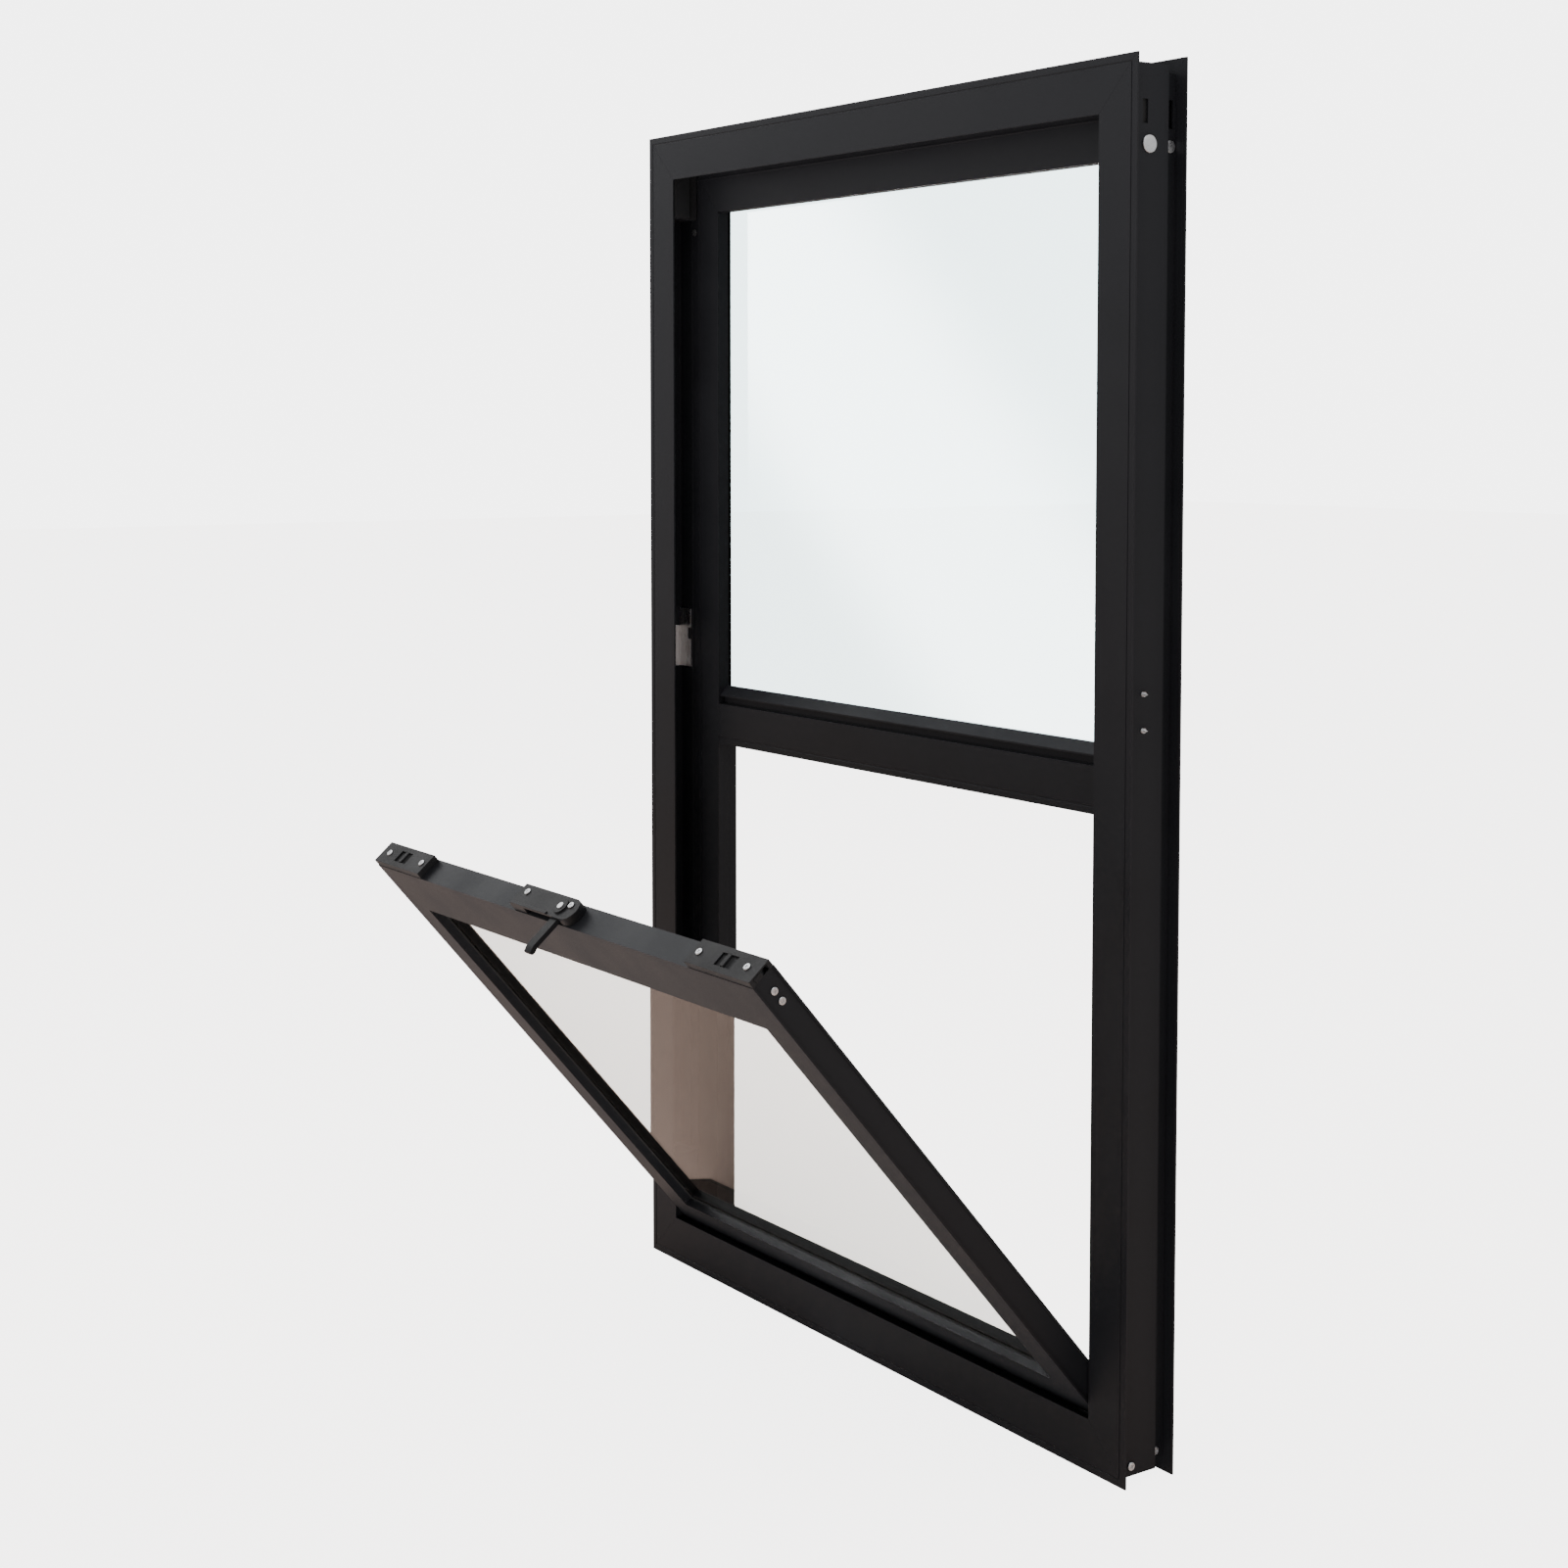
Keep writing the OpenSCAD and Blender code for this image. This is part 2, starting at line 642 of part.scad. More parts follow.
bar_h = 12;
bar_t = 4;

module pivot_bar(side) color(silver) in_sash() at_sash_end(side)
    box([-side_gap - 18, stile_w + 24], [-bar_t / 2, bar_t / 2], [-bar_h / 2, bar_h / 2]);

module pivot_bar_left() pivot_bar(-1);
module pivot_bar_right() pivot_bar(1);

module pivot_cam(side) color("#3a3a3c") in_sash() at_sash_end(side) difference() {
    rod(-side_gap - 21, -side_gap - 0.3, 0, 0, cam_r);
    box([-side_gap - 18, 0], [-bar_t / 2, bar_t / 2], [-bar_h / 2, bar_h / 2]);
}

module pivot_cam_left() pivot_cam(-1);
module pivot_cam_right() pivot_cam(1);

// ---- tilt latches -------------------------------------------------------------

// heights in this part count up from the sash's top
module on_sash_top() in_sash() translate([0, 0, reach]) children();

latch_half = half_t - 0.5;
latch_h = 7;
latch_skin = 1.4;
latch_screw_1 = 16;
latch_screw_2 = latch_len - 9;
bolt_half = 8;
bolt_end = 0.3;
bolt_tail = latch_len - 32;
bolt_low = 0.3;
bolt_high = 5.1;
window_0 = 34;                          // finger window in the case
window_1 = 57;
window_half = 6.5;
post_r = 3.3;
slide_fit = 0.4;
lug_h = 9;

module latch_case(side) color("#3b3b3f") on_sash_top() at_sash_end(side) difference() {
    union() {
        difference() {
            box([0, latch_len], [-latch_half, latch_half], [0, latch_h]);
            box([-cut, latch_screw_2 - 6], [-bolt_half - slide_fit, bolt_half + slide_fit],
                [-cut, latch_h - latch_skin]);
            box([window_0, window_1], [-window_half, window_half], [0, latch_h + cut]);
        }
        upright(latch_screw_1, 0, -cut, latch_h - 1, post_r);
        box([sash_wall + end_in + 1, stile_w - chan_d - sash_wall - 1], [-5, 5], [-lug_h, 0]);
    }
    for (w = [latch_screw_1, latch_screw_2])
        upright(w, 0, -lug_h - cut, latch_h + cut, port_r);
}

module latch_case_left() latch_case(-1);
module latch_case_right() latch_case(1);

// pan head screw driven down from height z
module down_screw(x, v, z, length) {
    upright(x, v, z, z + 1.3, head_r - 0.3);
    upright(x, v, z - length, z + eps, shank_r);
}

module latch_screws() color(silver) on_sash_top() for (side = [-1, 1]) at_sash_end(side)
    for (w = [latch_screw_1, latch_screw_2]) down_screw(w, 0, latch_h, 13);

module latch_bolt(side) color("#46464a") on_sash_top() at_sash_end(side) {
    difference() {
        translate([0, 0, bolt_low]) linear_extrude(bolt_high - bolt_low)
            polygon([[bolt_end, -bolt_half], [bolt_tail, -bolt_half], [bolt_tail, bolt_half],
                [bolt_end + 7, bolt_half], [bolt_end, 0]]);
        box([latch_screw_1 - post_r - slide_fit, latch_screw_1 + latch_throw + post_r + slide_fit],
            [-post_r - slide_fit, post_r + slide_fit], [0, latch_h]);
    }
    box([window_0 + latch_throw + 1, window_0 + latch_throw + 6],
        [-window_half + slide_fit, window_half - slide_fit], [bolt_high - eps, latch_h + 0.8]);
}

module latch_bolt_left() latch_bolt(-1);
module latch_bolt_right() latch_bolt(1);

spring_r = 2.2;
spring_turns = 5;

// coil spring behind the bolt, closed up to a ribbed rod
module latch_spring(side) color(silver) on_sash_top() at_sash_end(side)
    translate([bolt_tail + 0.2, 0, bolt_low + spring_r]) rotate([0, 90, 0])
    rotate_extrude() {
        pitch = (latch_screw_2 - 6.2 - bolt_tail) / spring_turns;
        square([spring_r - 1, pitch * spring_turns]);
        for (i = [0 : spring_turns - 1]) translate([0, i * pitch])
            square([spring_r, pitch * 0.6]);
    }

module latch_spring_left() latch_spring(-1);
module latch_spring_right() latch_spring(1);

// ---- lock ----------------------------------------------------------------------

lock_w = 24;
lock_low = 7;                           // underside of the lock's top
lock_top = 9;
lock_screw_x = lock_half - 13;
lock_screw_v = 4;
block_left = lock_half - 24;            // length left open under the case
hub_r = 6.8;
pin_r = 2.5;
cam_low = 0.9;
cam_high = 3.5;
lever_high = 6.7;
lever_w = 11;
key_half = 3.8;                         // square that drives the cam
cam_len = 24;
cam_w = 9;

module lock_outline() {
    translate([-lock_half, -lock_w / 2]) square([2 * lock_half - lock_w / 2, lock_w]);
    translate([lock_half - lock_w / 2, 0]) circle(r = lock_w / 2);
}

module lock_case() color("#5a5a5e") on_sash_top() difference() {
    union() {
        translate([0, 0, lock_low]) linear_extrude(lock_top - lock_low) lock_outline();
        linear_extrude(lock_low + eps) difference() {
            lock_outline();
            translate([-block_left, -lock_w])
                square([block_left + rotor_x + hub_r + 1.2, 2 * lock_w]);
        }
        box([-block_left - eps, -2], [lock_w / 2 - 1.6, lock_w / 2], [0, lock_low + eps]);
        box([-lock_half + 3, rotor_x - 13], [-lock_w / 2, -lock_w / 2 + 3],
            [lock_top - eps, lock_top + 1.2]);
        upright(rotor_x, 0, lock_top - eps, lock_top + 1.6, hub_r + 1.2);
    }
    upright(rotor_x, 0, -cut, lock_top + 2 + cut, pin_r + cam_fit);
    for (x = [-lock_screw_x, lock_screw_x]) upright(x, lock_screw_v, -cut, lock_top + cut, port_r);
}

module lock_screws() color(silver) on_sash_top() for (x = [-lock_screw_x, lock_screw_x])
    down_screw(x, lock_screw_v, lock_top, 16);

module lock_pin() color(silver) on_sash_top() {
    upright(rotor_x, 0, 0.2, lock_top + 2.4, pin_r);
    upright(rotor_x, 0, lock_top + 1.6, lock_top + 2.4, pin_r + 0.8);
}

// the lever points into the room; its square foot drives the cam
module lock_lever() color("#1b1b1d") on_sash_top() translate([rotor_x, 0, 0]) difference() {
    union() {
        upright(0, 0, cam_high, lever_high, hub_r);
        box([-key_half, key_half], [-key_half, key_half], [cam_low, cam_high + eps]);
        rotate([90, 0, 90]) linear_extrude(lever_w, center = true)
            polygon([[-4, cam_high + 0.2], [-hub_r - 0.6, cam_high + 0.2], [-hub_r - 1.4, 2.3],
                [8 - lever_len, 2.3], [4 - lever_len, cam_low], [1 - lever_len, cam_low],
                [-lever_len, 2], [-lever_len, 4.4], [6 - lever_len, lever_high],
                [-4, lever_high]]);
    }
    upright(0, 0, 0, lock_low, pin_r + cam_fit);
}

module lock_cam() color(silver) on_sash_top() translate([rotor_x, 0, cam_low])
    linear_extrude(cam_high - cam_low) difference() {
        union() {
            circle(r = hub_r);
            translate([cam_w / 2 - cam_len, -cam_w / 2]) square([cam_len - cam_w / 2, cam_w]);
            translate([cam_w / 2 - cam_len, 0]) circle(r = cam_w / 2);
        }
        square(2 * key_half, center = true);
    }

frame_head();
frame_sill();
frame_jamb_left();
frame_jamb_right();
head_corner_keys();
sill_corner_keys();
sill_corner_screws();
meeting_rail();
meeting_rail_cleats();
meeting_rail_screws();
upper_glass();
upper_glass_seal();
glass_bead_head();
glass_bead_meeting();
glass_bead_left();
glass_bead_right();
jamb_cover_left();
jamb_cover_right();
stop_block_left();
stop_block_right();
stop_screws();
balance_bracket_left();
balance_bracket_right();
bracket_screws();
balance_ribbon_left();
balance_ribbon_right();
jamb_plugs();
balance_shoe_left();
balance_shoe_right();
balance_coil_left();
balance_coil_right();
sash_top_rail();
sash_bottom_rail();
sash_stile_left();
sash_stile_right();
sash_glass();
sash_glass_seal();
sash_screws();
sash_pile_left();
sash_pile_right();
sash_pile_top();
sash_bottom_seal();
pivot_bar_left();
pivot_bar_right();
pivot_cam_left();
pivot_cam_right();
latch_case_left();
latch_case_right();
latch_screws();
latch_bolt_left();
latch_bolt_right();
latch_spring_left();
latch_spring_right();
lock_case();
lock_screws();
lock_pin();
lock_lever();
lock_cam();
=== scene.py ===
# Single-hung sash window in black powder-coated aluminium, sash tilted into the room.
# X runs across the window, Y from the room to the outside, Z up, all in metres.
from math import radians, sin, cos, pi

import bpy
from mathutils import Matrix, Vector


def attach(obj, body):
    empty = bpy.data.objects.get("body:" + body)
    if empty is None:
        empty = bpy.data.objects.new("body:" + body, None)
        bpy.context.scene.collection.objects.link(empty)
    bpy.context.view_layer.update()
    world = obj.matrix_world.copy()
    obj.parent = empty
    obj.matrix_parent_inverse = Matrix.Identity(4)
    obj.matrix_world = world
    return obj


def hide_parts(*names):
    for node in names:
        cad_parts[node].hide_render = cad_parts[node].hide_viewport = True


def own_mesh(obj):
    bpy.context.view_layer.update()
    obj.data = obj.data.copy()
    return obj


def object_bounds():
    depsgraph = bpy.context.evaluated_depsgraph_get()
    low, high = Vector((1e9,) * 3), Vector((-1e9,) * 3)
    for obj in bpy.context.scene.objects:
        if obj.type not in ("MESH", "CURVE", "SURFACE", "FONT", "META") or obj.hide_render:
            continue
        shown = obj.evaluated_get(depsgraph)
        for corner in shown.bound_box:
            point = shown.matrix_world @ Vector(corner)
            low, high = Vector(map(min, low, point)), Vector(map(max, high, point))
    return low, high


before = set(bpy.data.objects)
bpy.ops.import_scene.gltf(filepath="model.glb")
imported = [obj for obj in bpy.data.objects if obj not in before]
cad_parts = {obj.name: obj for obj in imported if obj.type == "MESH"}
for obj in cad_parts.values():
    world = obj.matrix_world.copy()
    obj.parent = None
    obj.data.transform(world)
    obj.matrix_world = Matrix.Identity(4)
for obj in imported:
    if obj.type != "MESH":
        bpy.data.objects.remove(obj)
cad_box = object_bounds()
bpy.ops.object.select_all(action="DESELECT")

# --- camera ---------------------------------------------------------------------
# Stands in the room to the right, a little under the height of the fixed light.
bpy.ops.object.camera_add(location=(1.8946, -1.4370, 0.9021),
                          rotation=(radians(86.271), 0, radians(55.005)))
camera = bpy.context.object
camera.data.sensor_width = 36
camera.data.lens = 56.456
camera.data.shift_y = -0.1252
camera.data.clip_start = 0.05
bpy.context.scene.camera = camera

# --- powder coat ------------------------------------------------------------------
# Black polyester powder baked on to the aluminium extrusions: matte, with a fine
# orange peel and a little unevenness in its gloss.


def grain_group():
    tree = bpy.data.node_groups.new("fine_grain", "ShaderNodeTree")
    face = tree.interface
    for name, kind in (("Dark", "NodeSocketColor"), ("Light", "NodeSocketColor"),
                       ("Stretch", "NodeSocketVector"), ("Grain scale", "NodeSocketFloat"),
                       ("Patch scale", "NodeSocketFloat"), ("Smooth", "NodeSocketFloat"),
                       ("Rough", "NodeSocketFloat")):
        face.new_socket(name=name, in_out="INPUT", socket_type=kind)
    for name, kind in (("Color", "NodeSocketColor"), ("Roughness", "NodeSocketFloat"),
                       ("Height", "NodeSocketFloat")):
        face.new_socket(name=name, in_out="OUTPUT", socket_type=kind)
    n, link = tree.nodes, tree.links.new
    given, out = n.new("NodeGroupInput"), n.new("NodeGroupOutput")
    where = n.new("ShaderNodeTexCoord")
    stretched = n.new("ShaderNodeVectorMath")
    stretched.operation = "MULTIPLY"
    link(where.outputs["Object"], stretched.inputs[0])
    link(given.outputs["Stretch"], stretched.inputs[1])
    grain, patches = n.new("ShaderNodeTexNoise"), n.new("ShaderNodeTexNoise")
    for texture, scale, detail in ((grain, "Grain scale", 3), (patches, "Patch scale", 4)):
        link(stretched.outputs[0], texture.inputs["Vector"])
        link(given.outputs[scale], texture.inputs["Scale"])
        texture.inputs["Detail"].default_value = detail
    blend = n.new("ShaderNodeMath")
    blend.operation = "MULTIPLY_ADD"
    link(patches.outputs["Fac"], blend.inputs[0])
    blend.inputs[1].default_value = 0.6
    half = n.new("ShaderNodeMath")
    half.operation = "MULTIPLY"
    half.inputs[1].default_value = 0.4
    link(grain.outputs["Fac"], half.inputs[0])
    link(half.outputs[0], blend.inputs[2])
    spread = n.new("ShaderNodeMapRange")
    spread.inputs["From Min"].default_value = 0.35
    spread.inputs["From Max"].default_value = 0.65
    link(blend.outputs[0], spread.inputs["Value"])
    colour = n.new("ShaderNodeMix")
    colour.data_type = "RGBA"
    link(spread.outputs[0], colour.inputs["Factor"])
    link(given.outputs["Dark"], colour.inputs["A"])
    link(given.outputs["Light"], colour.inputs["B"])
    gloss = n.new("ShaderNodeMix")
    link(spread.outputs[0], gloss.inputs["Factor"])
    link(given.outputs["Smooth"], gloss.inputs["A"])
    link(given.outputs["Rough"], gloss.inputs["B"])
    link(colour.outputs["Result"], out.inputs["Color"])
    link(gloss.outputs["Result"], out.inputs["Roughness"])
    link(grain.outputs["Fac"], out.inputs["Height"])
    return tree


fine_grain = grain_group()


def finish(name, dark, light, smooth, rough, grain, patch, relief, stretch=(1, 1, 1),
           metallic=0.0, **plain):
    made = bpy.data.materials.new(name)
    made.use_nodes = True
    tree = made.node_tree
    shader = tree.nodes["Principled BSDF"]
    group = tree.nodes.new("ShaderNodeGroup")
    group.node_tree = fine_grain
    for socket, value in (("Dark", (*dark, 1)), ("Light", (*light, 1)), ("Stretch", stretch),
                          ("Grain scale", grain), ("Patch scale", patch),
                          ("Smooth", smooth), ("Rough", rough)):
        group.inputs[socket].default_value = value
    bump = tree.nodes.new("ShaderNodeBump")
    bump.inputs["Strength"].default_value = 0.5
    bump.inputs["Distance"].default_value = relief
    tree.links.new(group.outputs["Height"], bump.inputs["Height"])
    tree.links.new(group.outputs["Color"], shader.inputs["Base Color"])
    tree.links.new(group.outputs["Roughness"], shader.inputs["Roughness"])
    tree.links.new(bump.outputs["Normal"], shader.inputs["Normal"])
    shader.inputs["Metallic"].default_value = metallic
    for socket, value in plain.items():
        shader.inputs[socket.replace("_", " ")].default_value = value
    return made


black_coat = finish("black_powder_coat", (0.0050, 0.0050, 0.0060), (0.0080, 0.0080, 0.0095),
                    0.40, 0.52, 900, 14, 0.00006, Specular_IOR_Level=0.27,
                    Specular_Tint=(0.88, 0.93, 1.0, 1))

# --- frame extrusions ----------------------------------------------------------------
# Head, sill and two jambs, sawn to 45 degrees and screwed together. Each extrusion
# comes out of its die with a small radius on every edge.


def select_only(piece):
    bpy.ops.object.select_all(action="DESELECT")
    piece.select_set(True)
    bpy.context.view_layer.objects.active = piece


def paint(piece, material):
    piece.data.materials.clear()
    piece.data.materials.append(material)


def eased(node, body, material, edge, segments=2):
    """Piece cut like the CAD node, with its edges eased to a radius."""
    piece = bpy.data.objects.new(node + "_finished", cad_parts[node].data.copy())
    bpy.context.collection.objects.link(piece)
    select_only(piece)
    bpy.ops.object.mode_set(mode="EDIT")
    bpy.ops.mesh.select_all(action="SELECT")
    bpy.ops.mesh.remove_doubles(threshold=0.00001)
    bpy.ops.mesh.dissolve_limited(angle_limit=radians(0.6))
    bpy.ops.object.mode_set(mode="OBJECT")
    round_edges = piece.modifiers.new("eased edges", "BEVEL")
    round_edges.width = edge
    round_edges.segments = segments
    round_edges.angle_limit = radians(35)
    bpy.ops.object.modifier_apply(modifier=round_edges.name)
    bpy.ops.object.shade_smooth_by_angle(angle=radians(50))
    flat_faces = piece.modifiers.new("flat faces", "WEIGHTED_NORMAL")
    flat_faces.weight = 100
    flat_faces.keep_sharp = True
    bpy.ops.object.modifier_apply(modifier=flat_faces.name)
    paint(piece, material)
    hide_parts(node)
    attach(piece, body)
    return piece


extrusion_edge = 0.0004
for node in ("frame_head", "frame_sill", "frame_jamb_left", "frame_jamb_right"):
    eased(node, "frame", black_coat, extrusion_edge)

# --- screws -----------------------------------------------------------------------
# Zinc-plated pan-head screws with a cross recess and a cut thread. One is modelled
# standing on the origin, and a copy goes wherever a screw is driven.
zinc = finish("zinc_plate", (0.72, 0.73, 0.75), (0.86, 0.87, 0.88), 0.26, 0.42, 700, 60,
              0.00003, metallic=1.0)

screw_pitch = 0.0014


def screw_blank(head_r, head_h, shank_r, length, point):
    bpy.ops.object.select_all(action="DESELECT")
    bpy.ops.mesh.primitive_cylinder_add(vertices=32, radius=head_r, depth=head_h,
                                        location=(0, 0, head_h / 2))
    head = bpy.context.object
    bpy.ops.object.transform_apply(location=True)
    dome = head.modifiers.new("dome", "BEVEL")
    dome.width = head_h * 0.7
    dome.segments = 4
    dome.angle_limit = radians(60)
    bpy.ops.object.modifier_apply(modifier=dome.name)
    for turned in (0, pi / 2):
        bpy.ops.mesh.primitive_cube_add(size=1, location=(0, 0, head_h),
                                        rotation=(0, 0, turned),
                                        scale=(head_r * 1.15, head_r * 0.26, head_h * 1.2))
        blade = bpy.context.object
        select_only(head)
        cut = head.modifiers.new("recess", "BOOLEAN")
        cut.operation = "DIFFERENCE"
        cut.object = blade
        bpy.ops.object.modifier_apply(modifier=cut.name)
        bpy.data.objects.remove(blade)
    root_r = shank_r * 0.78
    bpy.ops.mesh.primitive_cylinder_add(vertices=16, radius=root_r, depth=length,
                                        location=(0, 0, -length / 2 + 0.0001))
    core = bpy.context.object
    parts = [head, core]
    if point:
        bpy.ops.mesh.primitive_cone_add(vertices=16, radius1=0.0002, radius2=root_r,
                                        depth=point, location=(0, 0, -length - point / 2 + 0.0001))
        parts.append(bpy.context.object)
    turns = int((length - 0.001) / screw_pitch)
    bpy.ops.mesh.primitive_circle_add(vertices=3, radius=shank_r * 0.24, fill_type="NOTHING",
                                      location=(shank_r * 0.87, 0, -length + 0.0004),
                                      rotation=(pi / 2, 0, 0))
    thread = bpy.context.object
    bpy.ops.object.transform_apply(location=True, rotation=True)
    wind = thread.modifiers.new("thread", "SCREW")
    wind.screw_offset = screw_pitch
    wind.iterations = turns
    wind.steps = wind.render_steps = 14
    bpy.ops.object.modifier_apply(modifier=wind.name)
    bpy.ops.object.mode_set(mode="EDIT")
    bpy.ops.mesh.select_all(action="SELECT")
    bpy.ops.mesh.fill_holes(sides=4)
    bpy.ops.mesh.select_all(action="SELECT")
    bpy.ops.mesh.normals_make_consistent(inside=False)
    bpy.ops.object.mode_set(mode="OBJECT")
    parts.append(thread)
    select_only(head)
    for part in parts:
        part.select_set(True)
    bpy.ops.object.join()
    bpy.ops.object.transform_apply(location=True, rotation=True, scale=True)
    bpy.ops.object.shade_smooth_by_angle(angle=radians(30))
    return head


def drive_screws(name, node, body, material, places, **shape):
    """A screw at each (point, way its head faces, turn of its recess in radians)."""
    blank = screw_blank(**shape)
    copies = []
    for point, facing, turned in places:
        copy = blank.copy()
        copy.data = blank.data.copy()
        bpy.context.collection.objects.link(copy)
        aim = Vector(facing).to_track_quat("Z", "Y").to_matrix().to_4x4()
        copy.data.transform(Matrix.Translation(point) @ aim @ Matrix.Rotation(turned, 4, "Z"))
        copies.append(copy)
    bpy.data.objects.remove(blank)
    select_only(copies[0])
    for copy in copies:
        copy.select_set(True)
    bpy.ops.object.join()
    group = bpy.context.object
    group.name = name
    paint(group, material)
    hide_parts(node)
    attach(group, body)
    return group


half_w = 0.381                # half the window's width
seat_y = 0.021                # the room face stands this far in front of the origin
fin = 0.007                   # the flanges stand this far past the web
groove = 0.006                # depth of the groove behind the web
web_x = half_w - fin          # outer face of each jamb's web
frame_screw = {"head_r": 0.0037, "head_h": 0.002, "shank_r": 0.00195}


def on_frame(x, depth, height):
    """Point of the frame: across, back from its room face and up from its lowest edge."""
    return x, depth - seat_y, height - fin


corner_screws = []
for side in (-1, 1):
    outwards = (side, 0, 0)
    corner_screws.append((on_frame(side * web_x, 0.013, 0.016), outwards, 0.5))
    corner_screws.append((on_frame(side * (web_x - groove), 0.047, 0.0195), outwards, 1.1))
drive_screws("corner_screws", "sill_corner_screws", "frame", zinc, corner_screws,
             length=0.026, point=0, **frame_screw)

# --- corner keys ---------------------------------------------------------------------
# Mill-finish angle plates inside the chambers, which keep the mitres square.
mill_finish = finish("mill_aluminium", (0.62, 0.63, 0.65), (0.75, 0.76, 0.77), 0.28, 0.45,
                     260, 30, 0.00002, stretch=(0.1, 1, 1), metallic=1.0)
for node in ("head_corner_keys", "sill_corner_keys"):
    eased(node, "frame", mill_finish, 0.0006)

# --- meeting rail --------------------------------------------------------------------
# Fixed extrusion across the middle: a flat front with a shadow line, the ledge that
# the lock's cam turns into, and a sloping nose that holds the fixed pane.
eased("meeting_rail", "frame", black_coat, extrusion_edge)
eased("meeting_rail_cleats", "frame", mill_finish, 0.0003)
paint(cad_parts["meeting_rail_screws"], zinc)

# --- fixed light -----------------------------------------------------------------------
# One pane, laid on a soft seal from outside and held by four snap-in beads.


def clear_glass(name, tint):
    made = bpy.data.materials.new(name)
    made.use_nodes = True
    tree = made.node_tree
    shader = tree.nodes["Principled BSDF"]
    shader.inputs["Transmission Weight"].default_value = 1
    shader.inputs["IOR"].default_value = 1.5
    where = tree.nodes.new("ShaderNodeTexCoord")
    ripple = tree.nodes.new("ShaderNodeTexNoise")
    ripple.inputs["Scale"].default_value = 3
    ripple.inputs["Detail"].default_value = 1
    tree.links.new(where.outputs["Object"], ripple.inputs["Vector"])
    shade = tree.nodes.new("ShaderNodeMix")
    shade.data_type = "RGBA"
    shade.inputs["A"].default_value = (*tint, 1)
    shade.inputs["B"].default_value = (*[min(1, c * 1.02) for c in tint], 1)
    tree.links.new(ripple.outputs["Fac"], shade.inputs["Factor"])
    tree.links.new(shade.outputs["Result"], shader.inputs["Base Color"])
    shader.inputs["Roughness"].default_value = 0
    rolled = tree.nodes.new("ShaderNodeBump")
    rolled.inputs["Strength"].default_value = 0.05
    rolled.inputs["Distance"].default_value = 0.0004
    tree.links.new(ripple.outputs["Fac"], rolled.inputs["Height"])
    tree.links.new(rolled.outputs["Normal"], shader.inputs["Normal"])
    return made


float_glass = clear_glass("float_glass", (0.79, 0.95, 0.975))
# Painted reflection: the sash pane is tinted warm beige to stand in for the warm room mirrored in
# the tilted glass; the fixed pane keeps the glass's own cyan.
sash_pane_painted_reflection = clear_glass("sash_pane_painted_reflection", (0.83, 0.815, 0.78))
seal_rubber = finish("seal_rubber", (0.008, 0.008, 0.008), (0.016, 0.016, 0.016), 0.62, 0.8,
                     1400, 40, 0.00008)
eased("upper_glass", "frame", float_glass, 0.0006)
eased("upper_glass_seal", "frame", seal_rubber, 0.0003)
for node in ("glass_bead_head", "glass_bead_meeting", "glass_bead_left", "glass_bead_right"):
    eased(node, "frame", black_coat, 0.0003)

# --- jamb covers -----------------------------------------------------------------------
# Thin channels snapped into the jambs beside the lower light.
for node in ("jamb_cover_left", "jamb_cover_right"):
    eased(node, "frame", black_coat, 0.0003)

# --- stops, brackets and plugs -----------------------------------------------------------
# Moulded stops at the top of the tracks, a black screw under each, steel angles that hold
# the balance ribbons, and round plugs pushed into the jambs from outside.
nylon = finish("black_nylon", (0.009, 0.009, 0.010), (0.015, 0.015, 0.016), 0.42, 0.6,
               1100, 25, 0.0001, Specular_IOR_Level=0.25)
spring_steel = finish("spring_steel", (0.62, 0.62, 0.63), (0.78, 0.78, 0.78), 0.2, 0.42,
                      300, 20, 0.00003, stretch=(1, 12, 0.15), metallic=1.0)
for node in ("stop_block_left", "stop_block_right"):
    eased(node, "frame", nylon, 0.0008, 3)
for node in ("balance_bracket_left", "balance_bracket_right"):
    eased(node, "frame", spring_steel, 0.0003)
for node in ("balance_ribbon_left", "balance_ribbon_right"):
    ribbon = eased(node, "frame", spring_steel, 0.0001, 1)
    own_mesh(ribbon)
eased("jamb_plugs", "frame", zinc, 0.0007, 3)

black_oxide = finish("black_oxide", (0.012, 0.012, 0.013), (0.03, 0.03, 0.032), 0.35, 0.5,
                     800, 60, 0.00003)
stop_screw_in = 0.038         # from the frame's outer edge
stop_places = [(on_frame(side * (half_w - stop_screw_in), 0.034, 1.118), (0, -1, 0), 1.0)
               for side in (-1, 1)]
drive_screws("stop_block_screws", "stop_screws", "frame", black_oxide, stop_places,
             length=0.0018, point=0, **frame_screw)
bracket_face = 0.0033         # face of a bracket's upright, in from the web's outer face
bracket_places = [(on_frame(side * (web_x - bracket_face), 0.019, height), (-side, 0, 0), 0.3)
                  for side in (-1, 1) for height in (0.653, 0.684)]
drive_screws("balance_bracket_screws", "bracket_screws", "frame", zinc, bracket_places,
             length=0.0065, point=0.003, **frame_screw)

# --- balance shoes -----------------------------------------------------------------------
# Moulded blocks that slide in the tracks, each with its coiled ribbon and the bore
# that the sash's pivot cam turns in.
for node in ("balance_shoe_left", "balance_shoe_right"):
    eased(node, "shoes", nylon, 0.0006)
for node in ("balance_coil_left", "balance_coil_right"):
    paint(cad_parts[node], spring_steel)

# --- sash ----------------------------------------------------------------------------
# Two stiles with the rails between them, screwed through the stiles' end walls.
for node in ("sash_top_rail", "sash_bottom_rail", "sash_stile_left", "sash_stile_right"):
    eased(node, "sash", black_coat, extrusion_edge)
# The sash pane's warm tint is painted reflection, not the glass's own colour.
eased("sash_glass", "sash", sash_pane_painted_reflection, 0.0006)
eased("sash_glass_seal", "sash", seal_rubber, 0.0003)
eased("sash_bottom_seal", "sash", seal_rubber, 0.001, 4)

